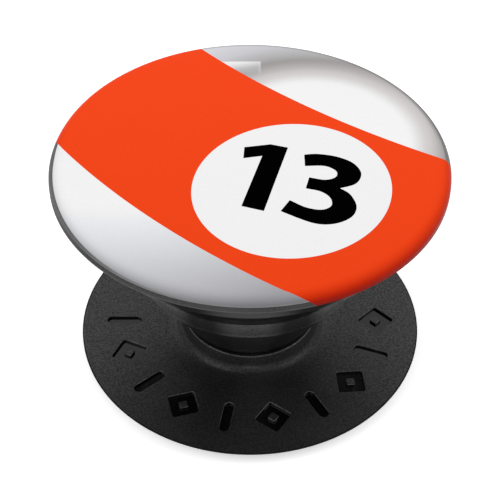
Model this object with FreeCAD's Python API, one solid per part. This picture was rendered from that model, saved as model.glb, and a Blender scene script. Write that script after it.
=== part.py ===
"""Phone grip with a folding bellows neck and a swappable printed top. Millimetres, +Z up.

The origin is the centre of the adhesive pad's sticky face, the face that goes on the phone.
The neck is modelled open, at its full height. Each fold of the bellows turns inside out when
it closes, until the stiff rings nest one inside the other round the foot.
"""
import FreeCAD, Part
import math
import os
from FreeCAD import Vector

# Driving dimensions
TOP_DIAMETER = 39.7
BASE_DIAMETER = 37.0
OPEN_HEIGHT = 25.75
PAD_PROUD = 0.35          # how far the pad stands below the base
FOOT_SLOPE = 0.632        # radius the foot gains per millimetre of height
LIP_RADIUS = 6.84         # neck radius where it leaves the base's boss
LIP_HEIGHT = 3.54         # top of the boss above the base's lower face

# Heights above the base's lower face where the bellows changes from stiff to thin and back
FOOT_TOP = 4.9
RING_1 = (11.55, 13.7)
RING_2 = (16.25, 17.75)
COLLAR = (19.75, 22.8)

RING_1_RADII = (11.9, 12.2)   # the rings stand steeper than the webs between them
RING_2_RADII = (13.75, 14.1)
STIFF_WALL = 1.0
WEB_WALL = 0.45
WEB_INSET = 0.1

# Base
BASE_RADIUS = BASE_DIAMETER / 2
BASE_TOP = 1.5            # flat face round the boss
RIM_EDGE = 0.15           # height of the upright edge under the face
UNDERCUT = (1.2, 1.3)     # the rim slopes in below the edge: distance in and distance down
PAD_RECESS = 0.25
PAD_RADIUS = 16.0
RETAINER_RADIUS = 9.0
RETAINER_TOP = 0.55
CAVITY_RADIUS = 8.0
CAVITY_TOP = 1.05
RUNNING_GAP = 0.08
SEAT_GAP = 0.02
PAD_GAP = 0.2
AXIAL_GAP = 0.05
FLANGE_RADIUS = 7.9
BOSS_RADII = (7.45, 7.25)     # at the foot and at the top
BOSS_FILLET = 0.8

# Sunk marks on the base
MARK_COUNT = 10
MARK_STEP_DEG = 20.0
MARK_RADIUS = 13.9
MARK_DEPTH = 0.3
DIAMOND_HALF_LENGTH = 2.0
DIAMOND_HALF_WIDTH = 1.95
DIAMOND_STROKE = 0.68     # share of the half width that is sunk
BAR_HALF_LENGTH = 1.9
BAR_HALF_WIDTH = 0.52

# Bayonet between the bellows and the top
SOCKET_PLATE = (22.8, 23.5)
SOCKET_RADIUS = 16.5
KEYHOLE_RADIUS = 4.2
NOTCH_RADIUS = 5.4
NOTCH_HALF_DEG = 20.0
POST_RADIUS = 4.0
POST_BOTTOM = 22.0
POST_HOLLOW_RADIUS = 2.6
LUG_RADIUS = 5.2
LUG_HEIGHTS = (22.15, 22.7)
LUG_HALF_DEG = 18.0
STOP_HEIGHT = 0.5
STOP_SPAN_DEG = (112.0, 160.0)
STAKE_RADIUS = 3.4

# Top shell and printed cap
SKIRT_RADIUS = 17.25
SKIRT_WALL = 0.6
SKIRT_BOTTOM = 20.1
DECK = (23.6, 24.15)
SKIRT_TOP = (17.45, 22.7)     # radius and height where the skirt meets the flange
FLANGE_CORNER = (17.9, 23.15)
FLANGE_LOWER_EDGE = (19.55, 23.4)
FLANGE_SIDE = (23.55, 23.95)
FILM_THICKNESS = 0.1
FILM_RADIUS = 18.9
CAP_LIP_RADIUS = 19.0         # outside it the cap rests on the shell itself
CAP_RADIUS = TOP_DIAMETER / 2
CAP_EDGE_ROUND = 1.0
CAP_EDGE_TOP = 24.95

UP = Vector(0, 0, 1)


def point(radius, height):
    """A profile point, with its height measured from the base's lower face."""
    return Vector(radius, 0, height + PAD_PROUD)


def line(start, end):
    return Part.LineSegment(point(*start), point(*end)).toShape()


def arc(start, middle, end):
    return Part.Arc(point(*start), point(*middle), point(*end)).toShape()


def outline(points):
    """Straight edges through the points, closed back to the first."""
    return [line(a, b) for a, b in zip(points, points[1:] + points[:1])]


def turned(edges):
    """One solid of revolution about the Z axis from a closed profile."""
    face = Part.Face(Part.Wire(edges))
    return face.revolve(Vector(0, 0, 0), UP, 360)


def disc(radius, bottom, top):
    return Part.makeCylinder(radius, top - bottom, point(0, bottom), UP)


def sector(radius, bottom, top, middle_deg, half_deg):
    """A wedge of a disc, centred on one direction."""
    wedge = Part.makeCylinder(radius, top - bottom, point(0, bottom), UP, 2 * half_deg)
    wedge.rotate(Vector(0, 0, 0), UP, middle_deg - half_deg)
    return wedge


def foot_radius(height):
    """Outer radius of the flared foot."""
    return LIP_RADIUS + FOOT_SLOPE * (height - LIP_HEIGHT)


def band(low, high, bottom, top, wall):
    """A conical ring from its outer radii, its heights and its wall, measured level."""
    return turned(outline([(low - wall, bottom), (low, bottom), (high, top), (high - wall, top)]))


def adhesive_pad():
    return disc(PAD_RADIUS, -PAD_PROUD, PAD_RECESS)


def upright_prism(corners, bottom):
    """A prism through the base's top face, from corners (radial, sideways) about the mark's centre."""
    ring = [Vector(MARK_RADIUS + u, v, bottom + PAD_PROUD) for u, v in corners]
    return Part.Face(Part.makePolygon(ring + ring[:1])).extrude(UP * (2 * MARK_DEPTH))


def diamond(length, width):
    return [(length, 0), (0, width), (-length, 0), (0, -width)]


def sunk_marks():
    """Alternating bars and hollow diamonds round the front half of the flat ring."""
    bottom = BASE_TOP - MARK_DEPTH
    middle = (MARK_COUNT - 1) / 2
    tools = []
    for index in range(MARK_COUNT):
        if index % 2 == 0:
            length, width = BAR_HALF_LENGTH, BAR_HALF_WIDTH
            mark = upright_prism([(length, -width), (length, width), (-length, width), (-length, -width)], bottom)
        else:
            core = 1 - DIAMOND_STROKE
            core_corners = diamond(DIAMOND_HALF_LENGTH * core, DIAMOND_HALF_WIDTH * core)
            mark = upright_prism(diamond(DIAMOND_HALF_LENGTH, DIAMOND_HALF_WIDTH), bottom)
            mark = mark.cut(upright_prism(core_corners, bottom))
        mark.rotate(Vector(0, 0, 0), UP, -90 + (index - middle) * MARK_STEP_DEG)
        tools.append(mark)
    return tools


def base_platform():
    bore = LIP_RADIUS + RUNNING_GAP
    retainer_bore = RETAINER_RADIUS + SEAT_GAP
    pad_bore = PAD_RADIUS + PAD_GAP
    edge_low = BASE_TOP - RIM_EDGE
    foot_in, foot_down = UNDERCUT
    boss_foot, boss_top = BOSS_RADII
    fillet_top = BASE_TOP + BOSS_FILLET
    fillet_end = boss_foot + BOSS_FILLET
    near = BOSS_FILLET * (1 - math.sqrt(0.5))
    edges = [
        line((bore, CAVITY_TOP), (CAVITY_RADIUS, CAVITY_TOP)),
        line((CAVITY_RADIUS, CAVITY_TOP), (CAVITY_RADIUS, RETAINER_TOP)),
        line((CAVITY_RADIUS, RETAINER_TOP), (retainer_bore, RETAINER_TOP)),
        line((retainer_bore, RETAINER_TOP), (retainer_bore, PAD_RECESS)),
        line((retainer_bore, PAD_RECESS), (pad_bore, PAD_RECESS)),
        line((pad_bore, PAD_RECESS), (pad_bore, 0)),
        line((pad_bore, 0), (BASE_RADIUS - foot_in, 0)),
        line((BASE_RADIUS - foot_in, 0), (BASE_RADIUS - foot_in, edge_low - foot_down)),
        line((BASE_RADIUS - foot_in, edge_low - foot_down), (BASE_RADIUS, edge_low)),
        line((BASE_RADIUS, edge_low), (BASE_RADIUS, BASE_TOP)),
        line((BASE_RADIUS, BASE_TOP), (fillet_end, BASE_TOP)),
        arc((fillet_end, BASE_TOP), (boss_foot + near, BASE_TOP + near), (boss_foot, fillet_top)),
        line((boss_foot, fillet_top), (boss_top, LIP_HEIGHT)),
        line((boss_top, LIP_HEIGHT), (bore, LIP_HEIGHT)),
        line((bore, LIP_HEIGHT), (bore, CAVITY_TOP)),
    ]
    platform = turned(edges)
    for mark in sunk_marks():
        platform = platform.cut(mark)
    return platform


def base_retainer():
    return disc(RETAINER_RADIUS, PAD_RECESS, RETAINER_TOP)


def bellows_foot():
    """A cup: captured flange, short journal in the lip, then the first stiff wall."""
    flange_bottom = RETAINER_TOP + AXIAL_GAP
    flange_top = CAVITY_TOP - AXIAL_GAP
    top = foot_radius(FOOT_TOP)
    inner_low = LIP_RADIUS - STIFF_WALL
    return turned(outline([
        (0, flange_bottom), (FLANGE_RADIUS, flange_bottom), (FLANGE_RADIUS, flange_top),
        (LIP_RADIUS, flange_top), (LIP_RADIUS, LIP_HEIGHT), (top, FOOT_TOP),
        (top - STIFF_WALL, FOOT_TOP), (inner_low, LIP_HEIGHT), (inner_low, flange_top), (0, flange_top),
    ]))


def fold_web_1():
    bottom, top = FOOT_TOP, RING_1[0]
    return band(foot_radius(bottom) - WEB_INSET, RING_1_RADII[0] - WEB_INSET, bottom, top, WEB_WALL)


def bellows_ring_1():
    return band(RING_1_RADII[0], RING_1_RADII[1], RING_1[0], RING_1[1], STIFF_WALL)


def fold_web_2():
    bottom, top = RING_1[1], RING_2[0]
    return band(RING_1_RADII[1] - WEB_INSET, RING_2_RADII[0] - WEB_INSET, bottom, top, WEB_WALL)


def bellows_ring_2():
    return band(RING_2_RADII[0], RING_2_RADII[1], RING_2[0], RING_2[1], STIFF_WALL)


def fold_web_3():
    """The last web ends inside the skirt."""
    bottom, top = RING_2[1], COLLAR[0]
    return band(RING_2_RADII[1] - WEB_INSET, SOCKET_RADIUS - 2 * WEB_INSET, bottom, top, WEB_WALL)


def bellows_collar():
    collar = disc(SOCKET_RADIUS, COLLAR[0], COLLAR[1])
    return collar.cut(disc(SOCKET_RADIUS - STIFF_WALL / 2, COLLAR[0], COLLAR[1]))


def bayonet_socket():
    """A plate with a keyhole, and two stops under it that end the quarter turn."""
    bottom, top = SOCKET_PLATE
    plate = disc(SOCKET_RADIUS, bottom, top).cut(disc(KEYHOLE_RADIUS, bottom, top))
    for direction in (90, 270):
        plate = plate.cut(sector(NOTCH_RADIUS, bottom, top, direction, NOTCH_HALF_DEG))
    start, end = STOP_SPAN_DEG
    for turn in (0, 180):
        stop = sector(NOTCH_RADIUS, bottom - STOP_HEIGHT, bottom, (start + end) / 2 + turn, (end - start) / 2)
        plate = plate.fuse(stop.cut(disc(KEYHOLE_RADIUS, bottom - STOP_HEIGHT, bottom)))
    return plate.removeSplitter()


def twist_hub():
    """A hollow post with two lugs below the plate and a stake through the deck."""
    post = disc(POST_RADIUS, POST_BOTTOM, DECK[0])
    for direction in (0, 180):
        post = post.fuse(sector(LUG_RADIUS, LUG_HEIGHTS[0], LUG_HEIGHTS[1], direction, LUG_HALF_DEG))
    post = post.fuse(disc(STAKE_RADIUS, DECK[0], DECK[1]))
    return post.cut(disc(POST_HOLLOW_RADIUS, POST_BOTTOM, DECK[0])).removeSplitter()


def edge_radius(height):
    """Radius of the rounded edge that the top shell and the printed cap share."""
    rise = height - (CAP_EDGE_TOP - CAP_EDGE_ROUND)
    return CAP_RADIUS - CAP_EDGE_ROUND + math.sqrt(CAP_EDGE_ROUND ** 2 - rise ** 2)


def top_shell():
    """A deck with a downward skirt and a flange that carries the printed cap."""
    skirt_inner = SKIRT_RADIUS - SKIRT_WALL
    deck_bottom, deck_top = DECK
    side_low, side_high = FLANGE_SIDE
    return turned(outline([
        (STAKE_RADIUS, deck_bottom), (STAKE_RADIUS, deck_top), (edge_radius(deck_top), deck_top),
        (CAP_RADIUS, side_high), (CAP_RADIUS, side_low), FLANGE_LOWER_EDGE, FLANGE_CORNER, SKIRT_TOP,
        (SKIRT_RADIUS, SKIRT_BOTTOM), (skirt_inner, SKIRT_BOTTOM), (skirt_inner, deck_bottom),
    ]))


def cap_film():
    return disc(FILM_RADIUS, DECK[1], DECK[1] + FILM_THICKNESS)


def printed_cap():
    """A thin plate with a slightly domed face and a rounded edge."""
    crown = OPEN_HEIGHT - PAD_PROUD
    bottom = DECK[1]
    ceiling = bottom + FILM_THICKNESS
    flat_radius = CAP_RADIUS - CAP_EDGE_ROUND
    diagonal = CAP_EDGE_ROUND * math.sqrt(0.5)
    edge_centre = CAP_EDGE_TOP - CAP_EDGE_ROUND
    rise = crown - CAP_EDGE_TOP
    dome_radius = (flat_radius ** 2 + rise ** 2) / (2 * rise)
    half_angle = math.asin(flat_radius / dome_radius) / 2
    dome_middle = (dome_radius * math.sin(half_angle), crown - dome_radius * (1 - math.cos(half_angle)))
    return turned([
        line((0, ceiling), (CAP_LIP_RADIUS, ceiling)),
        line((CAP_LIP_RADIUS, ceiling), (CAP_LIP_RADIUS, bottom)),
        line((CAP_LIP_RADIUS, bottom), (edge_radius(bottom), bottom)),
        arc((edge_radius(bottom), bottom), (flat_radius + diagonal, edge_centre + diagonal),
            (flat_radius, CAP_EDGE_TOP)),
        arc((flat_radius, CAP_EDGE_TOP), dome_middle, (0, crown)),
        line((0, crown), (0, ceiling)),
    ])


PIECES = [
    adhesive_pad, base_platform, base_retainer,
    bellows_foot, fold_web_1, bellows_ring_1, fold_web_2, bellows_ring_2, fold_web_3, bellows_collar,
    bayonet_socket, twist_hub, top_shell, cap_film, printed_cap,
]


def main():
    os.makedirs("parts", exist_ok=True)
    for make in PIECES:
        shape = make()
        if not shape.isValid() or len(shape.Solids) != 1:
            raise ValueError(make.__name__ + " is not one valid solid")
        shape.exportStep("parts/" + make.__name__ + ".step")
        print(make.__name__, round(shape.Volume, 2), "mm3")


main()
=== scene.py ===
"""Looks of the folding phone grip: printed domed cap, black shell, rubber bellows and marked base."""
import bpy
import math
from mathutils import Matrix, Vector
from mathutils.geometry import delaunay_2d_cdt


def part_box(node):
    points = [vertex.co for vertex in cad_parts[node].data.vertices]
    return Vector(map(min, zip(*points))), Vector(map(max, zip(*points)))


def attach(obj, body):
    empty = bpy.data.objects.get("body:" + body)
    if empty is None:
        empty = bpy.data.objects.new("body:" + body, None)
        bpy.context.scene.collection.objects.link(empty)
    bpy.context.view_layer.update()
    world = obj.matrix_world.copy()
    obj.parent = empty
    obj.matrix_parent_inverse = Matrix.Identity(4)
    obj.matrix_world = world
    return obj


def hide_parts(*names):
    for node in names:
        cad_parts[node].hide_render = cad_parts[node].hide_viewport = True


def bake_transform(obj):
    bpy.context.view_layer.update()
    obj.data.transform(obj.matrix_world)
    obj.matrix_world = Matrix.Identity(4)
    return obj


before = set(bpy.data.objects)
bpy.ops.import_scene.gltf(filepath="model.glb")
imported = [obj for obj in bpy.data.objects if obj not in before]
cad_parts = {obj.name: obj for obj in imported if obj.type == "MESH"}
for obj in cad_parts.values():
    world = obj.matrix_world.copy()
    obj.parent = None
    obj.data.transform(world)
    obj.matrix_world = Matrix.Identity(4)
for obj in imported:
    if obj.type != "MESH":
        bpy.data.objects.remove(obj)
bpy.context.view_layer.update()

MM = 0.001
TURN_STEPS = 192          # points round a turned piece
ARC_STEPS = 6             # points on a small fillet
SHARP_DEG = 32


def limits(node):
    """Outer radius, lowest and highest level of a CAD node, in millimetres."""
    low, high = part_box(node)
    return high[0] / MM, low[2] / MM, high[2] / MM


# Levels and radii that the frame gives
PAD_RADIUS, PAD_LOW, PAD_HIGH = limits("adhesive_pad")
BASE_RADIUS, BASE_LOW, LIP_TOP = limits("base_platform")
RETAINER_RADIUS, RETAINER_LOW, RETAINER_HIGH = limits("base_retainer")
FLANGE_RADIUS, FLANGE_LOW, FOOT_TOP = limits("bellows_foot")
RING_1_RADIUS, RING_1_LOW, RING_1_HIGH = limits("bellows_ring_1")
RING_2_RADIUS, RING_2_LOW, RING_2_HIGH = limits("bellows_ring_2")
COLLAR_RADIUS, COLLAR_LOW, COLLAR_HIGH = limits("bellows_collar")
WEB_1_RADIUS, WEB_1_LOW, WEB_1_HIGH = limits("fold_web_1")
WEB_2_RADIUS, WEB_2_LOW, WEB_2_HIGH = limits("fold_web_2")
WEB_3_RADIUS, WEB_3_LOW, WEB_3_HIGH = limits("fold_web_3")
SHELL_RADIUS, SKIRT_LOW, DECK_TOP = limits("top_shell")
CAP_RADIUS, CAP_LOW, CAP_CROWN = limits("printed_cap")
FILM_RADIUS, FILM_LOW, FILM_HIGH = limits("cap_film")

BORE_RADIUS = 6.87
JOURNAL_RADIUS = 6.84
FOOT_SLOPE = 0.632
FOOT_TOP_RADIUS = JOURNAL_RADIUS + FOOT_SLOPE * (FOOT_TOP - LIP_TOP)
STIFF_WALL = 1.0
WEB_WALL = 0.45
WEB_INSET = 0.1
RING_1_LOW_RADIUS = WEB_1_RADIUS + WEB_INSET
RING_2_LOW_RADIUS = WEB_2_RADIUS + WEB_INSET


# ---------------------------------------------------------------- mesh helpers

def make_mesh(name, points, faces, materials, face_materials=None):
    """A mesh object from points in millimetres."""
    mesh = bpy.data.meshes.new(name)
    mesh.from_pydata([Vector(p) * MM for p in points], [], faces)
    for material in materials:
        mesh.materials.append(material)
    if face_materials:
        mesh.polygons.foreach_set("material_index", face_materials)
    mesh.update()
    mesh.shade_smooth()
    mesh.set_sharp_from_angle(angle=math.radians(SHARP_DEG))
    piece = bpy.data.objects.new(name, mesh)
    bpy.context.scene.collection.objects.link(piece)
    return piece


def fillet(corners, closed=True):
    """A (radius, level) path with round corners. A corner is (radius, level, fillet radius)."""
    path = []
    count = len(corners)
    for index, (x, y, size) in enumerate(corners):
        here = Vector((x, y))
        is_end = not closed and index in (0, count - 1)
        if size <= 0 or is_end:
            path.append((x, y))
            continue
        before = Vector(corners[index - 1][:2]) - here
        after = Vector(corners[(index + 1) % count][:2]) - here
        turn = before.angle(after)
        reach = min(size / math.tan(turn / 2), 0.49 * before.length, 0.49 * after.length)
        start = here + before.normalized() * reach
        end = here + after.normalized() * reach
        for step in range(ARC_STEPS + 1):
            t = step / ARC_STEPS
            weight = math.sqrt(0.5) + (1 - math.sqrt(0.5)) * abs(2 * t - 1)
            a, b, c = (1 - t) ** 2, 2 * t * (1 - t) * weight, t * t
            p = (start * a + here * b + end * c) / (a + b + c)
            path.append((p.x, p.y))
    return path


def turned(name, path, materials, closed=True, angle_at=None, material_at=None):
    """A closed solid of revolution. An open path starts and ends on the axis.

    angle_at(angle, radius, level) may shift a point round the axis, and
    material_at(angle, radius, level) may choose the material of a face from its middle.
    """
    points, rows = [], []
    for radius, level in path:
        if radius < 1e-6:
            rows.append([len(points)] * TURN_STEPS)
            points.append((0, 0, level))
            continue
        first = len(points)
        rows.append(list(range(first, first + TURN_STEPS)))
        for step in range(TURN_STEPS):
            angle = 2 * math.pi * step / TURN_STEPS
            if angle_at:
                angle = angle_at(angle, radius, level)
            points.append((radius * math.cos(angle), radius * math.sin(angle), level))
    faces = []
    pairs = list(zip(rows, rows[1:])) + ([(rows[-1], rows[0])] if closed else [])
    for low, high in pairs:
        for step in range(TURN_STEPS):
            ahead = (step + 1) % TURN_STEPS
            corners = [low[step], low[ahead], high[ahead], high[step]]
            face = list(dict.fromkeys(corners))
            if len(face) > 2:
                faces.append(face)
    indices = None
    if material_at:
        indices = []
        for face in faces:
            x, y, level = (sum(points[v][axis] for v in face) / len(face) for axis in range(3))
            indices.append(material_at(math.atan2(y, x), math.hypot(x, y), level))
    return make_mesh(name, points, faces, materials, indices)


def divided(start, end, parts, bulge=0.0):
    """Points from start to end, without the end, bowed outwards by bulge."""
    path = []
    for step in range(parts):
        t = step / parts
        radius = start[0] + (end[0] - start[0]) * t + bulge * 4 * t * (1 - t)
        path.append((radius, start[1] + (end[1] - start[1]) * t))
    return path


# ---------------------------------------------------------------- material helpers

class Nodes:
    """Short calls for building one node material."""

    def __init__(self, name, world=False):
        self.material = bpy.data.materials.new(name)
        self.material.use_nodes = True
        self.tree = self.material.node_tree
        self.tree.nodes.clear()
        self.coordinates = self.add("ShaderNodeTexCoord").outputs["Object"]

    def add(self, kind, **settings):
        node = self.tree.nodes.new(kind)
        for key, value in settings.items():
            setattr(node, key, value)
        return node

    def put(self, value, socket):
        if isinstance(value, bpy.types.NodeSocket):
            self.tree.links.new(value, socket)
        else:
            socket.default_value = value

    def math(self, operation, a, b=0.0, c=0.0):
        node = self.add("ShaderNodeMath", operation=operation)
        for value, socket in zip((a, b, c), node.inputs):
            self.put(value, socket)
        return node.outputs[0]

    def smooth(self, value, start, end):
        """0 before start, 1 after end, smooth between."""
        node = self.add("ShaderNodeMapRange", interpolation_type="SMOOTHSTEP")
        self.put(value, node.inputs["Value"])
        self.put(start, node.inputs["From Min"])
        self.put(end, node.inputs["From Max"])
        return node.outputs["Result"]

    def ramp(self, value, low, high, stops):
        """A colour ramp over low to high. stops are (value, colour)."""
        scaled = self.add("ShaderNodeMapRange")
        self.put(value, scaled.inputs["Value"])
        scaled.inputs["From Min"].default_value = low
        scaled.inputs["From Max"].default_value = high
        node = self.add("ShaderNodeValToRGB")
        elements = node.color_ramp.elements
        while len(elements) < len(stops):
            elements.new(0.5)
        for element, (place, colour) in zip(elements, stops):
            element.position = (place - low) / (high - low)
            element.color = (*colour, 1.0)
        self.tree.links.new(scaled.outputs["Result"], node.inputs["Fac"])
        return node.outputs["Color"]

    def mix(self, factor, a, b, blend="MIX"):
        node = self.add("ShaderNodeMix", data_type="RGBA", blend_type=blend)
        self.put(factor, node.inputs["Factor"])
        self.put(a, node.inputs["A"])
        self.put(b, node.inputs["B"])
        return node.outputs["Result"]

    def noise(self, size_mm, detail=3.0, roughness=0.5):
        node = self.add("ShaderNodeTexNoise")
        self.tree.links.new(self.coordinates, node.inputs["Vector"])
        node.inputs["Scale"].default_value = 1 / (size_mm * MM)
        node.inputs["Detail"].default_value = detail
        node.inputs["Roughness"].default_value = roughness
        return node.outputs["Fac"]

    def bump(self, height, depth_mm, strength=1.0, normal=None):
        node = self.add("ShaderNodeBump")
        node.inputs["Strength"].default_value = strength
        node.inputs["Distance"].default_value = depth_mm * MM
        self.tree.links.new(height, node.inputs["Height"])
        if normal is not None:
            self.tree.links.new(normal, node.inputs["Normal"])
        return node.outputs["Normal"]

    def place(self):
        """x, y and z of the point, in millimetres."""
        scaled = self.add("ShaderNodeVectorMath", operation="SCALE")
        self.tree.links.new(self.coordinates, scaled.inputs[0])
        scaled.inputs["Scale"].default_value = 1 / MM
        split = self.add("ShaderNodeSeparateXYZ")
        self.tree.links.new(scaled.outputs[0], split.inputs[0])
        return split.outputs

    def finish(self, **inputs):
        shader = self.add("ShaderNodeBsdfPrincipled")
        for key, value in inputs.items():
            self.put(value, shader.inputs[key.replace("_", " ")])
        output = self.add("ShaderNodeOutputMaterial")
        self.tree.links.new(shader.outputs[0], output.inputs["Surface"])
        return self.material


def srgb(red, green, blue):
    """Linear colour from 0-255 display values."""
    return tuple(((v / 255 + 0.055) / 1.055) ** 2.4 if v > 10 else v / 255 / 12.92 for v in (red, green, blue))


def grey(value, warm=0.0):
    return srgb(value + warm, value, value)


def black_plastic(name, tone, grain_mm, grain_depth, roughness, specular, shine_at=None):
    """Moulded black plastic with a spark-eroded grain and faint tone changes.

    shine_at(nodes) may give a factor for the reflectance that changes from place to place.
    """
    n = Nodes(name)
    if shine_at:
        specular = n.math("MULTIPLY", shine_at(n), specular)
    grain = n.noise(grain_mm, 4.0, 0.6)
    clouds = n.noise(6.0, 2.0)
    dark = (tone * 0.75, tone * 0.75, tone * 0.75, 1)
    light = (tone * 1.2, tone * 1.2, tone * 1.24, 1)
    colour = n.mix(n.smooth(clouds, 0.3, 0.7), dark, light)
    colour = n.mix(n.smooth(grain, 0.45, 0.8), colour, (tone * 1.7, tone * 1.7, tone * 1.75, 1))
    shine = n.math("MULTIPLY_ADD", clouds, 0.12, roughness - 0.06)
    return n.finish(
        Base_Color=colour, Roughness=shine, Specular_IOR_Level=specular,
        Normal=n.bump(grain, grain_depth, 0.6),
    )


SPARKLE = 3.0


def base_shine(n):
    """The base sparkles with its moulding grain; its boss is duller, and its outer edge duller still, as painted
    shade.
    """
    x, y, z = n.place()
    radius = away_from(n, (0, 0), x, y)
    boss = n.math("MULTIPLY", n.smooth(z, BASE_FACE, BASE_FACE + 0.12), n.smooth(z, LIP_TOP - 0.02, LIP_TOP - 0.3))
    # Painted shade: the rim edge and the undercut below the face lose most of their reflectance.
    edge = n.math("MAXIMUM", n.smooth(radius, BASE_RADIUS - 0.16, BASE_RADIUS - 0.1), n.smooth(z, BASE_FACE - 0.03, BASE_FACE - 0.08))
    dulness = n.math("MULTIPLY_ADD", n.smooth(z, BASE_FACE + 1.1, BASE_FACE + 0.5), 0.2, 0.4)
    loss = n.math("MAXIMUM", n.math("MULTIPLY", boss, dulness), n.math("MULTIPLY", edge, 0.92))
    sparkle = n.math("MULTIPLY_ADD", n.noise(0.19, 2.0, 0.5), SPARKLE, 1 - SPARKLE / 2)
    return n.math("MULTIPLY", n.math("SUBTRACT", 1.0, loss), sparkle)


def shell_shine(n):
    """The shell's side shines straight in front, where it faces the low light, and dulls round its sides."""
    x, y, z = n.place()
    sideways = n.math("DIVIDE", n.math("ABSOLUTE", x), away_from(n, (0, 0), x, y))
    dull = n.math("MULTIPLY", n.smooth(sideways, 0.06, 0.3), n.smooth(sideways, 0.52, 0.38))
    shaded = n.math("MULTIPLY", n.smooth(z, SKIRT_LOW + 0.16, SKIRT_LOW + 0.3), n.smooth(sideways, 0.2, 0.4))
    return n.math("SUBTRACT", 1.0, n.math("MULTIPLY", n.math("MAXIMUM", dull, shaded), 0.92))


def flange_shine(n):
    """The flange's side has a thin painted highlight line of raised reflectance and is duller toward the left, as
    painted shade.
    """
    x, y, z = n.place()
    left = n.smooth(n.math("DIVIDE", x, away_from(n, (0, 0), x, y)), -0.45, -0.8)
    line = n.smooth(z, DECK_TOP - 0.54, DECK_TOP - 0.6)
    return n.math("ADD", n.math("SUBTRACT", 1.0, n.math("MULTIPLY", left, 0.6)), n.math("MULTIPLY", line, 1.6))


def mark_polish():
    """The mirror-smooth floors of the sunk marks."""
    n = Nodes("mark_polish")
    clouds = n.noise(1.6, 2.0)
    colour = n.mix(clouds, (0.0008, 0.0008, 0.0009, 1), (0.0022, 0.0022, 0.0024, 1))
    return n.finish(
        Base_Color=colour, Roughness=n.math("MULTIPLY_ADD", clouds, 0.08, 0.06), Specular_IOR_Level=0.5,
        Normal=n.bump(clouds, 0.006, 0.3),
    )


def bellows_rubber():
    """Soft satin rubber: fine grain and faint flow lines round the neck."""
    n = Nodes("bellows_rubber")
    x, y, z = n.place()
    grain = n.noise(0.09, 3.0, 0.55)
    clouds = n.noise(3.5, 3.0)
    wave = n.math("SINE", n.math("MULTIPLY_ADD", z, 19.0, n.math("MULTIPLY", clouds, 9.0)))
    lines = n.math("MULTIPLY_ADD", wave, 0.5, 0.5)
    tone = n.mix(n.smooth(clouds, 0.3, 0.75), (0.0035, 0.0035, 0.0036, 1), (0.006, 0.006, 0.0062, 1))
    tone = n.mix(n.math("MULTIPLY", lines, 0.12), tone, (0.02, 0.02, 0.021, 1))
    height = n.math("MULTIPLY_ADD", lines, 0.15, grain)
    shine = n.math("MULTIPLY_ADD", clouds, 0.1, 0.27)
    # Painted shade in the reflectance: cut round the neck's sides except on the far upper sides, and cut further
    # under the cap.
    sideways = n.math("DIVIDE", n.math("ABSOLUTE", x), away_from(n, (0, 0), x, y))
    painted_side_shade = n.math("MULTIPLY", n.smooth(sideways, 0.1, 0.32), n.smooth(sideways, 0.96, 0.8))
    upper_sides = n.math("MULTIPLY", n.smooth(z, RING_1_LOW - 2.5, RING_1_LOW), n.smooth(sideways, 0.46, 0.66))
    painted_side_shade = n.math("MULTIPLY", painted_side_shade, n.math("SUBTRACT", 1.0, upper_sides))
    sparkle = n.math("MULTIPLY_ADD", n.noise(0.16, 2.0, 0.5), SPARKLE, 1 - SPARKLE / 2)
    level = n.math("MULTIPLY_ADD", painted_side_shade, -0.44, 0.5)
    sheltered = n.smooth(z, WEB_2_LOW + 0.9, WEB_2_LOW + 1.5)
    level = n.math("MULTIPLY", level, n.math("MULTIPLY_ADD", sheltered, -0.8, 1.0))
    return n.finish(
        Base_Color=tone, Roughness=shine, Normal=n.bump(height, 0.012, 0.5),
        Specular_IOR_Level=n.math("MULTIPLY", level, sparkle),
    )


def pad_gel():
    """Tacky black gel: a shallow dimpled skin with a wet sheen."""
    n = Nodes("pad_gel")
    cells = n.add("ShaderNodeTexVoronoi", feature="SMOOTH_F1")
    n.tree.links.new(n.coordinates, cells.inputs["Vector"])
    cells.inputs["Scale"].default_value = 1 / (0.8 * MM)
    clouds = n.noise(4.0, 2.0)
    colour = n.mix(clouds, (0.012, 0.012, 0.014, 1), (0.03, 0.03, 0.034, 1))
    return n.finish(
        Base_Color=colour, Roughness=n.math("MULTIPLY_ADD", clouds, 0.2, 0.12),
        Normal=n.bump(cells.outputs["Distance"], 0.03, 0.35), Coat_Weight=0.4,
    )


def clear_film():
    n = Nodes("clear_film")
    clouds = n.noise(1.5, 3.0)
    colour = n.mix(clouds, (0.72, 0.73, 0.74, 1), (0.82, 0.82, 0.8, 1))
    return n.finish(Base_Color=colour, Roughness=0.25, Alpha=0.6, Normal=n.bump(clouds, 0.01, 0.3))


# ---------------------------------------------------------------- printed artwork, plan millimetres

CAP_EDGE_ROUND = 1.0
CAP_DOME_RISE = 0.45
FLAT_RADIUS = CAP_RADIUS - CAP_EDGE_ROUND
EDGE_TOP = CAP_CROWN - CAP_DOME_RISE
UPPER_EDGE = (49.55, 64.26, 71.49)      # circle that bounds the stripe above: centre and radius
LOWER_EDGE = (42.57, 46.55, 76.13)      # and below
BEND_START = 18.7
FRONT_BEND = 0.017
BACK_BEND = 0.008
ROUNDEL_CENTRE = (4.0, -4.97)
ROUNDEL_RADII = (9.33, 9.88)            # along its short axis and across it
ROUNDEL_TILT = math.radians(137)        # direction of the short axis
FIGURES_CENTRE = (3.945, -4.985)
FIGURE_GROWTH = 0.03
WHITE_OFFSET = -0.8                     # the white ink's round edge sits a little toward the front
WHITE_RADIUS = 19.29

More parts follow.
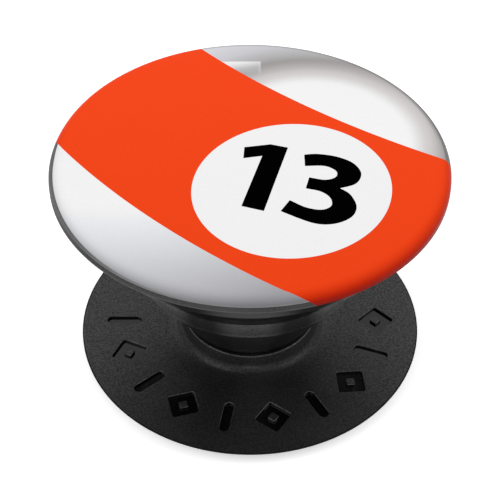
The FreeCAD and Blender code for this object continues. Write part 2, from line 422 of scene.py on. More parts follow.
# The figure outlines, from the roundel's centre. A list inside an outline is a smooth run.
FIGURE_ONE = [
    (-4.48, 5.88), (-1.9, 6.33), (-0.22, 5.86), (-2.67, -3.4), (-4.73, -2.74), (-2.72, 4.55), (-4.58, 4.22),
]
FIGURE_THREE = [
    [(1.4, 4.76), (2.7, 4.89), (4.6, 4.5), (6.1, 3.58), (6.78, 2.1), (6.2, 0.6), (4.6, -0.13)],
    [(4.6, -0.13), (5.55, -1.0), (6.05, -2.65), (5.5, -4.1), (3.9, -5.03), (1.9, -4.97), (-1.05, -3.42)],
    [(-0.18, -1.93), (1.3, -2.9), (2.8, -3.2), (3.74, -2.6), (3.67, -1.5), (2.8, -0.62), (1.4, -0.2)],
    [(1.77, 1.36), (3.3, 1.03), (4.35, 1.5), (4.4, 2.4), (3.3, 3.12), (1.42, 3.08)],
]


def smooth_run(points, steps=7):
    """A Catmull-Rom curve through the points, ends included."""
    padded = [points[0]] + list(points) + [points[-1]]
    curve = []
    for a, b, c, d in zip(padded, padded[1:], padded[2:], padded[3:]):
        for step in range(steps):
            t = step / steps
            curve.append(tuple(
                0.5 * (2 * q + (r - p) * t + (2 * p - 5 * q + 4 * r - s) * t ** 2 + (3 * q - p - 3 * r + s) * t ** 3)
                for p, q, r, s in zip(a, b, c, d)
            ))
    return curve + [tuple(points[-1])]


def grown(outline, distance):
    """The outline with each corner moved outward across the line between its neighbours."""
    pairs = list(zip(outline, outline[1:] + outline[:1]))
    outward = math.copysign(1, sum(x0 * y1 - x1 * y0 for (x0, y0), (x1, y1) in pairs))
    moved = []
    for index, (x, y) in enumerate(outline):
        (x0, y0), (x1, y1) = outline[index - 1], outline[(index + 1) % len(outline)]
        scale = outward * distance / math.hypot(x1 - x0, y1 - y0)
        moved.append((x + (y1 - y0) * scale, y - (x1 - x0) * scale))
    return moved


def figure_outline(parts):
    """One closed outline in plan, from corners and smooth runs."""
    outline = []
    for part in parts:
        run = smooth_run(part) if isinstance(part, list) else [part]
        outline += run[1:] if outline and run[0] == outline[-1] else run
    return [(x + FIGURES_CENTRE[0], y + FIGURES_CENTRE[1]) for x, y in grown(outline, FIGURE_GROWTH)]


def inside(point, outline):
    """Even-odd test."""
    x, y = point
    hit = False
    for (x0, y0), (x1, y1) in zip(outline, outline[1:] + outline[:1]):
        if (y0 > y) != (y1 > y) and x < (x1 - x0) * (y - y0) / (y1 - y0) + x0:
            hit = not hit
    return hit


def beyond(point, circle):
    return math.hypot(point[0] - circle[0], point[1] - circle[1]) - circle[2]


class Sheet:
    """Points and edges of a flat drawing that is then triangulated."""

    def __init__(self):
        self.points = []
        self.edges = []

    def run(self, points, closed=False):
        """Adds a polyline and returns its point numbers."""
        first = len(self.points)
        self.points += points
        numbers = list(range(first, first + len(points)))
        self.edges += list(zip(numbers, numbers[1:]))
        if closed:
            self.edges.append((numbers[-1], numbers[0]))
        return numbers

    def scatter(self, points):
        self.points += points

    def triangles(self):
        """Points, faces and, for each point, the numbers it was drawn with."""
        vectors = [Vector(p) for p in self.points]
        result = delaunay_2d_cdt(vectors, self.edges, [], 0, 1e-5, True)
        return [tuple(p) for p in result[0]], [tuple(f) for f in result[2]], result[3]


def circle_points(radius, angles):
    return [(radius * math.cos(a), radius * math.sin(a)) for a in angles]


def evenly(count, turn=0.0):
    return [2 * math.pi * (step + turn) / count for step in range(count)]


DOME_RADIUS = (FLAT_RADIUS ** 2 + CAP_DOME_RISE ** 2) / (2 * CAP_DOME_RISE)
DOME_REACH = DOME_RADIUS * math.asin(FLAT_RADIUS / DOME_RADIUS)
EDGE_SWEEP = math.acos((CAP_LOW - (EDGE_TOP - CAP_EDGE_ROUND)) / CAP_EDGE_ROUND)
CAP_REACH = DOME_REACH + EDGE_SWEEP * CAP_EDGE_ROUND


def on_cap(reach):
    """Radius, level and slope angle of the cap's face at a distance along it from the crown."""
    if reach <= DOME_REACH:
        slope = reach / DOME_RADIUS
        return DOME_RADIUS * math.sin(slope), CAP_CROWN - DOME_RADIUS * (1 - math.cos(slope)), slope
    slope = (reach - DOME_REACH) / CAP_EDGE_ROUND
    return (FLAT_RADIUS + CAP_EDGE_ROUND * math.sin(slope),
            EDGE_TOP - CAP_EDGE_ROUND * (1 - math.cos(slope)), slope)


def crossings(circle, reach):
    """Directions from the axis in which a stripe edge lies at this distance."""
    cx, cy, radius = circle
    distance = math.hypot(cx, cy)
    half = math.acos((distance ** 2 + reach ** 2 - radius ** 2) / (2 * distance * reach))
    return [math.atan2(cy, cx) - half, math.atan2(cy, cx) + half]


def rim_turn(reach, x):
    """Angle by which the lower stripe edge curls in where the print wraps over the rim."""
    turn = max(0.0, min(reach, CAP_REACH) - BEND_START)
    return turn * (FRONT_BEND if x > 0 else -BACK_BEND)


def bent(point, way=1):
    """Moves a point of the lower stripe edge by that angle, or back again."""
    reach = math.hypot(*point)
    angle = math.atan2(point[1], point[0]) + way * rim_turn(reach, point[0])
    return reach * math.cos(angle), reach * math.sin(angle)


def stripe_directions(reach):
    """Directions from the axis of all four stripe edges at this distance."""
    lower = [edge + rim_turn(reach, math.cos(edge)) for edge in crossings(LOWER_EDGE, reach)]
    return crossings(UPPER_EDGE, reach) + lower


def stripe_arc(circle, spacing=0.4):
    """The stretch of a stripe edge that lies on the cap, ending exactly on its rim."""
    cx, cy, radius = circle
    toward = math.atan2(-cy, -cx)
    distance = math.hypot(cx, cy)
    half = math.acos((distance ** 2 + radius ** 2 - CAP_REACH ** 2) / (2 * distance * radius))
    count = int(2 * half * radius / spacing)
    angles = [toward - half + 2 * half * step / count for step in range(count + 1)]
    return [(cx + radius * math.cos(a), cy + radius * math.sin(a)) for a in angles]


def artwork():
    """Flat drawing of the face: stripe edges, roundel and figures, with the rim at CAP_REACH."""
    sheet = Sheet()
    arcs = [stripe_arc(UPPER_EDGE), [bent(point) for point in stripe_arc(LOWER_EDGE, 0.25)]]
    ends = [math.atan2(end[1], end[0]) % (2 * math.pi) for arc in arcs for end in (arc[0], arc[-1])]
    rim_angles = sorted(evenly(256) + ends)
    sheet.run(circle_points(CAP_REACH, rim_angles), closed=True)
    for arc in arcs:
        sheet.run(arc)
    white_edge = [(white_reach(angle), angle) for angle in evenly(256, 0.25)]
    sheet.run([(reach * math.cos(a), reach * math.sin(a)) for reach, a in white_edge], closed=True)
    sheet.run(roundel_outline(), closed=True)
    figures = [figure_outline(FIGURE_ONE), figure_outline(FIGURE_THREE)]
    for figure in figures:
        sheet.run(figure, closed=True)
    for ring in range(1, 9):
        reach = DOME_REACH + (CAP_REACH - DOME_REACH) * (ring - 1) / 8
        sheet.scatter(circle_points(reach, evenly(256, 0.5 * (ring % 2))))
    for ring in range(1, 15):
        reach = DOME_REACH * ring / 15
        sheet.scatter(circle_points(reach, evenly(8 * ring, 0.37 * ring)))
    return sheet, figures, rim_angles


def roundel_outline():
    cos, sin = math.cos(ROUNDEL_TILT), math.sin(ROUNDEL_TILT)
    outline = []
    for angle in evenly(160):
        u, v = ROUNDEL_RADII[0] * math.cos(angle), ROUNDEL_RADII[1] * math.sin(angle)
        outline.append((ROUNDEL_CENTRE[0] + u * cos - v * sin, ROUNDEL_CENTRE[1] + u * sin + v * cos))
    return outline


def in_roundel(point):
    dx, dy = point[0] - ROUNDEL_CENTRE[0], point[1] - ROUNDEL_CENTRE[1]
    cos, sin = math.cos(ROUNDEL_TILT), math.sin(ROUNDEL_TILT)
    u, v = dx * cos + dy * sin, dy * cos - dx * sin
    return math.hypot(u / ROUNDEL_RADII[0], v / ROUNDEL_RADII[1]) < 1


def white_reach(angle):
    """How far from the axis the white ink runs: a circle at the back, an offset one at the front."""
    if math.sin(angle) > 0:
        return math.sqrt(WHITE_RADIUS ** 2 - WHITE_OFFSET ** 2)
    return math.sqrt(WHITE_RADIUS ** 2 - (WHITE_OFFSET * math.cos(angle)) ** 2) + WHITE_OFFSET * math.sin(angle)


def in_stripe(point):
    return beyond(point, UPPER_EDGE) > 0 and beyond(bent(point, -1), LOWER_EDGE) < 0


ORANGE, ROUNDEL_WHITE, UPPER_WHITE, LOWER_WHITE, BLACK, MARGIN, BLANK = range(7)


def art_material(point, figures):
    if in_roundel(point):
        return BLACK if any(inside(point, figure) for figure in figures) else ROUNDEL_WHITE
    if in_stripe(point):
        return ORANGE
    if math.hypot(*point) > white_reach(math.atan2(point[1], point[0])):
        return MARGIN
    return UPPER_WHITE if beyond(point, UPPER_EDGE) < 0 else LOWER_WHITE


def printed_cap(materials):
    """The cap's whole closed mesh: printed face, rounded rim, seat and hollow underside."""
    sheet, figures, rim_angles = artwork()
    flat, faces, _ = sheet.triangles()
    points, normals = [], []
    for x, y in flat:
        reach = math.hypot(x, y)
        radius, level, slope = on_cap(min(reach, CAP_REACH))
        ux, uy = (x / reach, y / reach) if reach > 1e-9 else (0, 0)
        points.append((ux * radius, uy * radius, level))
        normals.append((ux * math.sin(slope), uy * math.sin(slope), math.cos(slope)))
    indices = []
    for face in faces:
        middle = [sum(flat[v][axis] for v in face) / 3 for axis in (0, 1)]
        indices.append(art_material(middle, figures))
    rim = sorted(
        (v for v in range(len(flat)) if math.hypot(*flat[v]) > CAP_REACH - 1e-3),
        key=lambda v: math.atan2(flat[v][1], flat[v][0]) % (2 * math.pi),
    )
    angles = [math.atan2(flat[v][1], flat[v][0]) for v in rim]
    below = [(FILM_RADIUS + 0.1, CAP_LOW), (FILM_RADIUS + 0.1, FILM_HIGH)]
    rows = [rim]
    for radius, level in below:
        rows.append(list(range(len(points), len(points) + len(rim))))
        points += [(radius * math.cos(a), radius * math.sin(a), level) for a in angles]
    centre = len(points)
    points.append((0, 0, FILM_HIGH))
    count = len(rim)
    for high, low in zip(rows, rows[1:]):
        for step in range(count):
            ahead = (step + 1) % count
            faces.append((high[step], low[step], low[ahead], high[ahead]))
            indices.append(BLANK)
    for step in range(count):
        faces.append((rows[-1][(step + 1) % count], rows[-1][step], centre))
        indices.append(BLANK)
    piece = make_mesh("printed_disc", points, faces, materials, indices)
    return piece


# ---------------------------------------------------------------- printed materials

UPPER_SHADE_CENTRE = (6.5, 2.5)
LOWER_SHADE_CENTRE = (-12.0, 12.0)
WINDOW = (1.15, 15.82)


def away_from(n, centre, x, y):
    dx = n.math("SUBTRACT", x, centre[0])
    dy = n.math("SUBTRACT", y, centre[1])
    return n.math("POWER", n.math("ADD", n.math("MULTIPLY", dx, dx), n.math("MULTIPLY", dy, dy)), 0.5)


def reach_of(n, x, y, z):
    """Distance along the face from the crown, near enough, out to the flange's foot."""
    drop = n.math("MAXIMUM", n.math("SUBTRACT", EDGE_TOP, z), 0.0)
    return n.math("ADD", away_from(n, (0, 0), x, y), n.math("MULTIPLY", drop, 0.6))


def print_finish(n, colour, roughness=0.32, specular=0.02):
    """Ink under a hard clear coat with a barely seen orange peel."""
    peel = n.noise(0.9, 2.0)
    dots = n.noise(0.16, 1.0)
    shine = n.math("MULTIPLY_ADD", dots, 0.06, roughness - 0.03)
    colour = n.mix(n.smooth(dots, 0.35, 0.75), colour, n.mix(1.0, colour, (0.97, 0.97, 0.97, 1), "MULTIPLY"))
    return n.finish(
        Base_Color=colour, Roughness=shine, Specular_IOR_Level=specular, Normal=n.bump(peel, 0.004, 0.3),
    )


def edge_shaded(n, colour, stops):
    """Multiplies a colour by a ramp over the distance from the crown: painted shade over the rounded rim as it turns
    down.
    """
    x, y, z = n.place()
    ramp = n.ramp(reach_of(n, x, y, z), 18.3, 20.9, stops)
    return n.mix(1.0, colour, ramp, "MULTIPLY")


def print_orange():
    n = Nodes("print_orange")
    x, y, z = n.place()
    top = n.ramp(y, -19.0, 18.0, [(-19.0, srgb(236, 67, 22)), (18.0, srgb(250, 71, 23))])
    # Painted shade: on the front half the orange darkens to a red-brown over the rounded rim and down the flange
    # side.
    front = edge_shaded(n, top, [
        (18.3, (1, 1, 1)), (18.75, (0.99, 0.98, 0.98)), (19.05, (0.94, 0.89, 0.88)), (19.4, (0.82, 0.7, 0.66)),
        (19.8, (0.64, 0.48, 0.42)), (20.15, (0.48, 0.26, 0.23)), (20.4, (0.32, 0.13, 0.12)),
        (20.9, (0.14, 0.07, 0.08)),
    ])
    facing = n.smooth(n.math("DIVIDE", y, away_from(n, (0, 0), x, y)), 0.55, -0.1)
    return print_finish(n, n.mix(facing, top, front))


# Painted shade over the rounded rim, darkening toward its foot.
WHITE_EDGE_SHADE = [
    (18.3, (1, 1, 1)), (18.7, (0.98, 0.98, 0.98)), (19.02, (0.93, 0.93, 0.93)), (19.36, (0.8, 0.8, 0.8)),
    (19.71, (0.64, 0.64, 0.64)), (20.1, (0.44, 0.44, 0.44)),
]


# Painted shade at the back: a thin dark line along the far rim.
BACK_EDGE_SHADE = [
    (18.3, (1, 1, 1)), (18.8, (1, 1, 1)), (18.95, (0.88, 0.88, 0.88)), (19.1, (0.64, 0.64, 0.64)),
    (19.6, (0.55, 0.55, 0.55)),
]


def print_roundel():
    n = Nodes("print_roundel")
    x, y, z = n.place()
    return print_finish(n, n.ramp(y, -15.0, 5.0, [(-15.0, grey(240)), (5.0, grey(244))]))


def print_upper_white():
    """White ink with the drawn shading of a round ball and its reflected window."""
    n = Nodes("print_upper_white")
    x, y, z = n.place()
    away = away_from(n, UPPER_SHADE_CENTRE, x, y)
    inner = n.ramp(away, 9.2, 14.0, [
        (9.2, grey(246)), (9.6, grey(243)), (10.0, grey(235, 1)), (10.5, grey(222, 3)), (11.0, grey(210, 4)),
        (11.6, grey(201, 4)), (12.2, grey(185, 4)), (13.2, grey(164, 5)), (13.7, grey(158, 3)),
    ])
    outer = n.ramp(away, 13.7, 19.0, [
        (13.7, grey(158, 3)), (14.2, grey(168, 3)), (14.7, grey(179, 1)), (15.5, srgb(190, 190, 192)),
        (16.6, srgb(205, 205, 209)), (19.0, srgb(219, 219, 224)),
    ])
    shade = n.mix(n.math("GREATER_THAN", away, 13.7), inner, outer)
    slant = n.math("MULTIPLY_ADD", x, -0.3, y)
    glare = n.ramp(slant, 13.7, 16.3, [
        (13.7, grey(180)), (14.15, grey(182)), (14.55, grey(189)), (14.95, srgb(203, 203, 206)),
        (15.15, srgb(213, 213, 217)), (15.35, grey(220)), (15.6, grey(230)), (16.0, grey(241)), (16.3, grey(243)),
    ])
    border = n.smooth(x, WINDOW[0] - 0.35, WINDOW[0] - 0.15)
    glare = n.mix(n.math("MULTIPLY", border, 0.25), glare, (*grey(226), 1))
    across = n.smooth(x, WINDOW[0] + 0.05, WINDOW[0] - 0.05)
    under = n.smooth(y, WINDOW[1] + 0.06, WINDOW[1] - 0.06)
    patch = n.math("MULTIPLY", n.math("MULTIPLY", across, under), n.smooth(y, 13.1, 14.0))
    shade = n.mix(patch, shade, glare)
    # Painted shade over the rounded rim: the front ramp toward the front, a thin dark line at the back.
    front = edge_shaded(n, shade, WHITE_EDGE_SHADE)
    back = edge_shaded(n, shade, BACK_EDGE_SHADE)
    facing = n.smooth(n.math("DIVIDE", y, away_from(n, (0, 0), x, y)), 0.0, 0.4)
    return print_finish(n, n.mix(facing, front, back))


def print_lower_white():
    n = Nodes("print_lower_white")
    x, y, z = n.place()
    away = away_from(n, LOWER_SHADE_CENTRE, x, y)
    shade = n.ramp(away, 19.0, 34.0, [
        (19.0, grey(243)), (20.5, grey(240)), (22.0, srgb(232, 233, 237)), (24.0, srgb(223, 224, 228)),
        (26.0, srgb(213, 214, 218)), (28.0, srgb(201, 202, 206)), (30.0, srgb(190, 190, 194)),
        (32.0, srgb(176, 176, 181)), (34.0, srgb(160, 160, 165)),
    ])
    # Painted shade over the rounded rim.
    return print_finish(n, edge_shaded(n, shade, WHITE_EDGE_SHADE))


def cap_margin():
    """The cap's bare dark plastic outside the white ink."""
    n = Nodes("cap_margin")
    x, y, z = n.place()
    clouds = n.noise(1.1, 3.0)
    tone = n.ramp(reach_of(n, x, y, z), 19.0, 20.3, [(19.0, grey(122)), (20.3, grey(114))])
    tone = n.mix(n.smooth(clouds, 0.3, 0.7), tone, n.mix(1.0, tone, (0.9, 0.9, 0.9, 1), "MULTIPLY"))
    # Painted shade: the margin is darker on its left side.
    side = n.smooth(n.math("DIVIDE", x, away_from(n, (0, 0), x, y)), -0.5, -0.85)
    tone = n.mix(side, tone, n.mix(1.0, tone, (0.6, 0.6, 0.6, 1), "MULTIPLY"))
    return n.finish(
        Base_Color=tone, Roughness=n.math("MULTIPLY_ADD", clouds, 0.1, 0.5), Specular_IOR_Level=0.1,
        Normal=n.bump(clouds, 0.004, 0.3),
    )


def print_black():
    n = Nodes("print_black")
    clouds = n.noise(2.0, 2.0)
    ink = n.mix(clouds, (0.0002, 0.0002, 0.0002, 1), (0.0008, 0.0008, 0.0008, 1))
    return print_finish(n, ink, specular=0.001)


def cap_blank():
    """The cap's own unprinted plastic."""
    n = Nodes("cap_blank")
    clouds = n.noise(1.2, 3.0)
    colour = n.mix(clouds, (0.55, 0.55, 0.54, 1), (0.62, 0.62, 0.6, 1))
    return n.finish(Base_Color=colour, Roughness=0.35, Normal=n.bump(clouds, 0.004, 0.3))


# ---------------------------------------------------------------- base with its sunk marks

BASE_FACE = BASE_LOW + 1.5
BOSS_TOP_RADIUS = 7.25
BOSS_FOOT_RADIUS = 7.45
BOSS_FILLET = 1.8
FLAT_START = BOSS_FOOT_RADIUS + BOSS_FILLET
RIM_SOFTNESS = 0.05
RIM_EDGE = 0.15           # upright edge under the face; the rim is undercut below it
UNDERCUT = (1.2, 1.3)
MARK_COUNT = 10
MARK_STEP = math.radians(20.0)
MARK_RADIUS = 13.9
MARK_DEPTH = 0.3
MARK_BEVEL = 0.05
BAR_HALF_LENGTH = 1.9
BAR_HALF_WIDTH = 0.52
DIAMOND_HALF_LENGTH = 2.0
DIAMOND_HALF_WIDTH = 1.95
DIAMOND_CORE = 0.32
CAVITY_RADIUS = 8.0
CAVITY_TOP = BASE_LOW + 1.05
PAD_GAP = 0.2


def offset_outline(core, radius):
    """A convex core grown by a radius, with round corners. The core runs anticlockwise."""
    outline = []
    count = len(core)
    for index, corner in enumerate(core):
        before = Vector(corner) - Vector(core[index - 1])
        after = Vector(core[(index + 1) % count]) - Vector(corner)
        start = math.atan2(before.y, before.x) - math.pi / 2
        sweep = (math.atan2(after.y, after.x) - math.pi / 2 - start) % (2 * math.pi)
        steps = max(2, int(sweep / 0.45))
        for step in range(steps + 1):
            angle = start + sweep * step / steps
            outline.append((corner[0] + radius * math.cos(angle), corner[1] + radius * math.sin(angle)))
    return outline


def diamond(share, corner, grow):
    """A diamond with round corners, its sides moved out by grow."""
    length, width = DIAMOND_HALF_LENGTH * share, DIAMOND_HALF_WIDTH * share
    core = 1 - corner / (length * width / math.hypot(length, width))
    corners = [(length * core, 0), (0, width * core), (-length * core, 0), (0, -width * core)]
    return offset_outline(corners, corner + grow)


def mark_outlines(index, grow):
    """Outlines of one mark in its own frame (radial, sideways), walls moved out by grow."""
    if index % 2 == 0:
        half = BAR_HALF_LENGTH - BAR_HALF_WIDTH
        return [offset_outline([(-half, 0), (half, 0)], BAR_HALF_WIDTH + grow)]
    return [diamond(1.0, 0.22, grow), diamond(DIAMOND_CORE, 0.12, -grow)]


def placed(outline, index):
    angle = -math.pi / 2 + (index - (MARK_COUNT - 1) / 2) * MARK_STEP
    cos, sin = math.cos(angle), math.sin(angle)
    return [((MARK_RADIUS + u) * cos - v * sin, (MARK_RADIUS + u) * sin + v * cos) for u, v in outline]


def marked_face(points, faces, polished):
    """Adds the flat ring with its sunk marks, noting the faces of the marks' floors and walls.

    Returns the inner and outer loops of point numbers.
    """
    flat_edge = BASE_RADIUS - RIM_SOFTNESS
    sheet = Sheet()
    angles = evenly(TURN_STEPS)
    inner_ring = sheet.run(circle_points(FLAT_START, angles), closed=True)
    outer_ring = sheet.run(circle_points(flat_edge, angles), closed=True)
    shoulder, wall, regions = set(), set(), []
    for index in range(MARK_COUNT):
        wall_outlines = [placed(o, index) for o in mark_outlines(index, 0.0)]
        for outline in wall_outlines:
            wall.update(sheet.run(outline, closed=True))
        for outline in mark_outlines(index, MARK_BEVEL):
            shoulder.update(sheet.run(placed(outline, index), closed=True))
        regions.append(wall_outlines)
    flat, triangles, drawn_as = sheet.triangles()
    first = len(points)
    on_wall = {}
    for number, (x, y) in enumerate(flat):
        is_wall = any(source in wall for source in drawn_as[number])
        points.append((x, y, BASE_FACE - (MARK_BEVEL if is_wall else 0)))
        if is_wall:
            on_wall[number] = None
    for number in on_wall:
        on_wall[number] = len(points)
        points.append((*flat[number], BASE_FACE - MARK_DEPTH))
    used = {}
    for face in triangles:
        middle = [sum(flat[v][axis] for v in face) / 3 for axis in (0, 1)]
        if math.hypot(*middle) < FLAT_START * math.cos(math.pi / TURN_STEPS) - 1e-6:
            continue
        sunk = any(sum(inside(middle, o) for o in outlines) % 2 for outlines in regions)
        if sunk:
            corners = [on_wall[v] for v in face]
            polished.add(len(faces))
            for a, b in zip(face, face[1:] + face[:1]):
                used[(a, b)] = True
        else:
            corners = [first + v for v in face]
        faces.append(tuple(corners))
    for a, b in used:
        if (b, a) not in used:
            polished.add(len(faces))
            faces.append((on_wall[a], on_wall[b], first + b, first + a))
    number_of = {source: first + number for number, sources in enumerate(drawn_as) for source in sources}
    return [number_of[i] for i in inner_ring], [number_of[i] for i in outer_ring]


def base_platform(materials):
    """The disc: boss, marked flat face, undercut rim, pad recess and flange cavity."""
    points, faces, polished = [], [], set()
    inner_loop, outer_loop = marked_face(points, faces, polished)
    recess_top = PAD_HIGH
    edge_low = BASE_FACE - RIM_EDGE
    foot_in, foot_down = UNDERCUT
    rim = fillet([
        (BASE_RADIUS - RIM_SOFTNESS, BASE_FACE, 0), (BASE_RADIUS, BASE_FACE, RIM_SOFTNESS),
        (BASE_RADIUS, edge_low, 0.04), (BASE_RADIUS - foot_in, edge_low - foot_down, 0.15),
        (BASE_RADIUS - foot_in, BASE_LOW, 0), (PAD_RADIUS + PAD_GAP, BASE_LOW, 0.1),
        (PAD_RADIUS + PAD_GAP, recess_top, 0.05),
        (RETAINER_RADIUS + 0.02, recess_top, 0.03), (RETAINER_RADIUS + 0.02, RETAINER_HIGH, 0),
        (CAVITY_RADIUS, RETAINER_HIGH, 0), (CAVITY_RADIUS, CAVITY_TOP, 0), (BORE_RADIUS, CAVITY_TOP, 0.05),
        (BORE_RADIUS, LIP_TOP - 0.03, 0.01), (BORE_RADIUS + 0.08, LIP_TOP, 0.05), (BOSS_TOP_RADIUS, LIP_TOP, 0.14),
        (BOSS_FOOT_RADIUS, BASE_FACE, BOSS_FILLET), (FLAT_START + 0.4, BASE_FACE, 0),
    ], closed=False)
    path = rim[1:-2]
    rows = [outer_loop]
    for radius, level in path:
        rows.append(list(range(len(points), len(points) + TURN_STEPS)))
        points += [(x, y, level) for x, y in circle_points(radius, evenly(TURN_STEPS))]
    rows.append(inner_loop)
    for high, low in zip(rows, rows[1:]):
        for step in range(TURN_STEPS):
            ahead = (step + 1) % TURN_STEPS
            faces.append((high[step], low[step], low[ahead], high[ahead]))
    indices = [int(number in polished) for number in range(len(faces))]
    return make_mesh("base_disc", points, faces, materials, indices)


# ---------------------------------------------------------------- turned pieces

def gel_disc(material):
    """The pad: a soft disc with rounded edges, proud of the base's underside."""
    return turned("gel_pad", fillet([
        (0, PAD_LOW, 0), (PAD_RADIUS, PAD_LOW, 0.3), (PAD_RADIUS, PAD_HIGH, 0.08), (0, PAD_HIGH, 0),
    ], closed=False), [material], closed=False)


def foot(material):
    """Lowest stiff part of the bellows: captured flange, journal and first flared wall."""
    journal = JOURNAL_RADIUS
    top = FOOT_TOP_RADIUS
    floor = FLANGE_LOW + 0.4
    return turned("bellows_foot_wall", fillet([
        (0, FLANGE_LOW, 0), (FLANGE_RADIUS, FLANGE_LOW, 0.08), (FLANGE_RADIUS, floor, 0.08),
        (journal, floor, 0.05), (journal, LIP_TOP, 0.3), (top, FOOT_TOP, 0.06),
        (top - STIFF_WALL, FOOT_TOP, 0.1), (journal - STIFF_WALL, LIP_TOP, 0.2),
        (journal - STIFF_WALL, floor, 0.1), (0, floor, 0),
    ], closed=False), [material], closed=False)


def stiff_ring(name, radii, levels, material):
    """A thick ring with rounded edges, a slight bead along its foot and a slightly full outer wall."""
    (low, high), (bottom, top) = radii, levels
    path = fillet([
        (low + 0.04, bottom, 0.12), (low + 0.06, bottom + 0.4, 0.5), (high, top, 0.07),
        (high - STIFF_WALL, top, 0.15), (low - STIFF_WALL, bottom, 0.15),
    ])
    return turned(name, path, [material])


def fold_web(name, radii, levels, bodies, material):
    """A thin wall between two stiff parts, bowed a little inward.
    """
    (low, high), (bottom, top) = radii, levels
    parts = 20
    bow = -0.09
    outer = divided((low, bottom), (high, top), parts, bow)
    inner = divided((high - WEB_WALL, top), (low - WEB_WALL, bottom), parts, bow)
    path = outer + [(high, top)] + inner + [(low - WEB_WALL, bottom)]
    piece = turned(name, path, [material])
    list(bodies)
    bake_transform(piece)
    return piece


def collar(material):
    inner = COLLAR_RADIUS - STIFF_WALL / 2
    return turned("bellows_collar_wall", fillet([
        (COLLAR_RADIUS, COLLAR_LOW, 0.15), (COLLAR_RADIUS, COLLAR_HIGH, 0.05),
        (inner, COLLAR_HIGH, 0.05), (inner, COLLAR_LOW, 0.12),
    ]), [material])


SKIRT_RADIUS = 17.25
SKIRT_WALL = 0.6
STAKE_RADIUS = 3.4
SHELL_BLACK, SHELL_RIM, SHELL_STRIPE = range(3)
LEAN_SPREAD = 0.3


def reach_on_side(level):
    return CAP_REACH + DECK_TOP - level


def on_side(radius, level):
    return radius > CAP_RADIUS - 0.3 and level < DECK_TOP + 0.01


def snapped_to_stripe(angle, radius, level):
    """Leans the flange's side points over near a stripe edge, so that one of them follows the edge down."""
    if not on_side(radius, level):
        return angle
    step = 2 * math.pi / TURN_STEPS
    edges = zip(stripe_directions(CAP_REACH), stripe_directions(reach_on_side(level)))
    for top_edge, edge in edges:
        home = round(top_edge / step) * step
        offset = math.remainder(angle - home, 2 * math.pi)
        share = 1 - abs(offset) / LEAN_SPREAD
        if share > 0:
            return angle + share * math.remainder(edge - home, 2 * math.pi)
    return angle


def shell_material(angle, radius, level):
    """The stripe runs on down the flange's side. The rest of the side is bare."""
    if not on_side(radius, level):
        return SHELL_BLACK
    reach = reach_on_side(level)
    return SHELL_STRIPE if in_stripe((reach * math.cos(angle), reach * math.sin(angle))) else SHELL_RIM


def shell(materials):
    """Deck, skirt with a rolled lower edge, and the flange that shows as the dark rim under the print."""
    deck_low = DECK_TOP - 0.55
    inner = SKIRT_RADIUS - SKIRT_WALL
    side = CAP_RADIUS - 0.02
    path = fillet([
        (STAKE_RADIUS + 0.02, DECK_TOP, 0), (side, DECK_TOP, 0), (CAP_RADIUS, DECK_TOP - 0.2, 0.1),
        (CAP_RADIUS, DECK_TOP - 0.72, 0.08), (19.5, DECK_TOP - 0.75, 0.1), (17.95, DECK_TOP - 0.95, 0.5),
        (17.45, DECK_TOP - 1.6, 0.5), (SKIRT_RADIUS + 0.05, SKIRT_LOW, 0.07), (inner, SKIRT_LOW, 0.2),
        (inner, deck_low, 0.15), (STAKE_RADIUS + 0.02, deck_low, 0),
    ])
    return turned("top_shell_body", path, materials, angle_at=snapped_to_stripe, material_at=shell_material)


# ---------------------------------------------------------------- build

shell_black = black_plastic("shell_black", 0.005, 0.12, 0.008, 0.3, 0.28, shell_shine)
base_black = black_plastic("base_black", 0.008, 0.2, 0.018, 0.38, 0.65, base_shine)
rim_black = black_plastic("rim_black", 0.03, 0.2, 0.01, 0.5, 0.13, flange_shine)
orange = print_orange()
rubber = bellows_rubber()
gel = pad_gel()

CARRIED = {
    "base_retainer": base_black, "bayonet_socket": base_black, "twist_hub": shell_black,
    "cap_film": clear_film(),
}
for node, material in CARRIED.items():
    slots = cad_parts[node].data.materials
    slots.clear()
    slots.append(material)


def mount_piece(piece, body, node):
    """A rigid piece rides on its body and stands for its CAD node."""
    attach(piece, body)
    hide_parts(node)


mount_piece(gel_disc(gel), "base", "adhesive_pad")
mount_piece(base_platform([base_black, mark_polish()]), "base", "base_platform")
mount_piece(foot(rubber), "neck", "bellows_foot")
ring_1 = stiff_ring("bellows_ring_lower", (RING_1_LOW_RADIUS, RING_1_RADIUS), (RING_1_LOW, RING_1_HIGH), rubber)
ring_2 = stiff_ring("bellows_ring_upper", (RING_2_LOW_RADIUS, RING_2_RADIUS), (RING_2_LOW, RING_2_HIGH), rubber)
mount_piece(ring_1, "ring_1", "bellows_ring_1")
mount_piece(ring_2, "ring_2", "bellows_ring_2")
mount_piece(collar(rubber), "collar", "bellows_collar")
mount_piece(shell([shell_black, rim_black, orange]), "top", "top_shell")
cap_materials = [
    orange, print_roundel(), print_upper_white(), print_lower_white(), print_black(), cap_margin(), cap_blank(),
]
mount_piece(printed_cap(cap_materials), "top", "printed_cap")

WEBS = [
    ("fold_lower", "fold_web_1", (FOOT_TOP_RADIUS, WEB_1_RADIUS), (WEB_1_LOW, WEB_1_HIGH), ("neck", "ring_1")),
    ("fold_middle", "fold_web_2", (RING_1_RADIUS, WEB_2_RADIUS), (WEB_2_LOW, WEB_2_HIGH), ("ring_1", "ring_2")),
    ("fold_upper", "fold_web_3", (RING_2_RADIUS, WEB_3_RADIUS), (WEB_3_LOW, WEB_3_HIGH), ("ring_2", "collar")),
]
for name, node, (low, high), levels, bodies in WEBS:
    web = fold_web(name, (low - 0.02, high), levels, bodies, rubber)
    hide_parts(node)


# ---------------------------------------------------------------- stage, light, camera

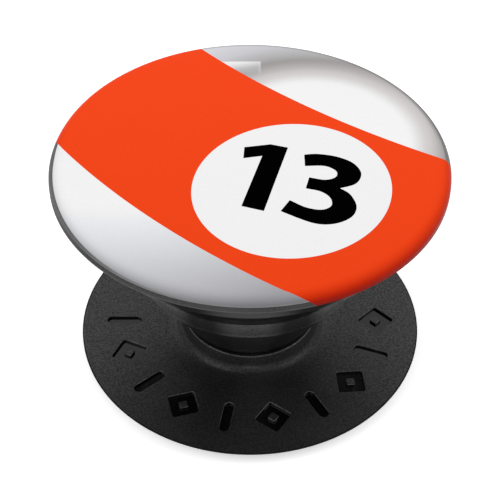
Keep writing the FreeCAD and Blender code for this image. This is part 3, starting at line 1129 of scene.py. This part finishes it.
def floor():
    n = Nodes("pale_floor")
    clouds = n.noise(60.0, 2.0)
    colour = n.mix(clouds, (0.93, 0.93, 0.93, 1), (0.95, 0.95, 0.95, 1))
    material = n.finish(Base_Color=colour, Roughness=0.9, Specular_IOR_Level=0.1,
                        Emission_Color=(1, 1, 1, 1), Emission_Strength=0.45)
    size = 1500
    corners = [(-size, -size, 0), (size, -size, 0), (size, size, 0), (-size, size, 0)]
    plane = make_mesh("floor", corners, [(0, 1, 2, 3)], [material])


def softbox(name, place, target, size, power):
    """A square soft light. place and target in millimetres."""
    light = bpy.data.lights.new(name, "AREA")
    light.shape = "RECTANGLE"
    light.size, light.size_y = size[0] * MM, size[1] * MM
    light.energy = power
    lamp = bpy.data.objects.new(name, light)
    lamp.location = Vector(place) * MM
    lamp.rotation_euler = (Vector(target) - Vector(place)).to_track_quat("-Z", "Y").to_euler()
    bpy.context.scene.collection.objects.link(lamp)


def studio():
    world = bpy.data.worlds.new("studio")
    bpy.context.scene.world = world
    world.use_nodes = True
    world.node_tree.nodes["Background"].inputs["Color"].default_value = (1, 1, 1, 1)
    world.node_tree.nodes["Background"].inputs["Strength"].default_value = 0.76
    middle = (0, 0, 12)
    softbox("key", (-260, -160, 330), middle, (260, 260), 0.4)
    softbox("fill", (280, -60, 260), middle, (220, 220), 0.22)
    softbox("low_front", (0, -260, 60), middle, (90, 60), 0.05)


AIM_LEVEL = BASE_FACE - 0.1
CAMERA_DISTANCE = 142.4
CAMERA_ELEVATION = math.radians(46.87)
CAMERA_PITCH = math.radians(43.72)


def camera():
    data = bpy.data.cameras.new("camera")
    data.sensor_width = 36
    data.lens = 92.1
    data.clip_start = 0.005
    eye = bpy.data.objects.new("camera", data)
    eye.location = Vector((
        0, -CAMERA_DISTANCE * math.cos(CAMERA_ELEVATION), CAMERA_DISTANCE * math.sin(CAMERA_ELEVATION) + AIM_LEVEL,
    )) * MM
    eye.rotation_euler = (math.pi / 2 - CAMERA_PITCH, 0, 0)
    bpy.context.scene.collection.objects.link(eye)
    bpy.context.scene.camera = eye


floor()
studio()
camera()
bpy.context.scene.view_settings.view_transform = "Standard"
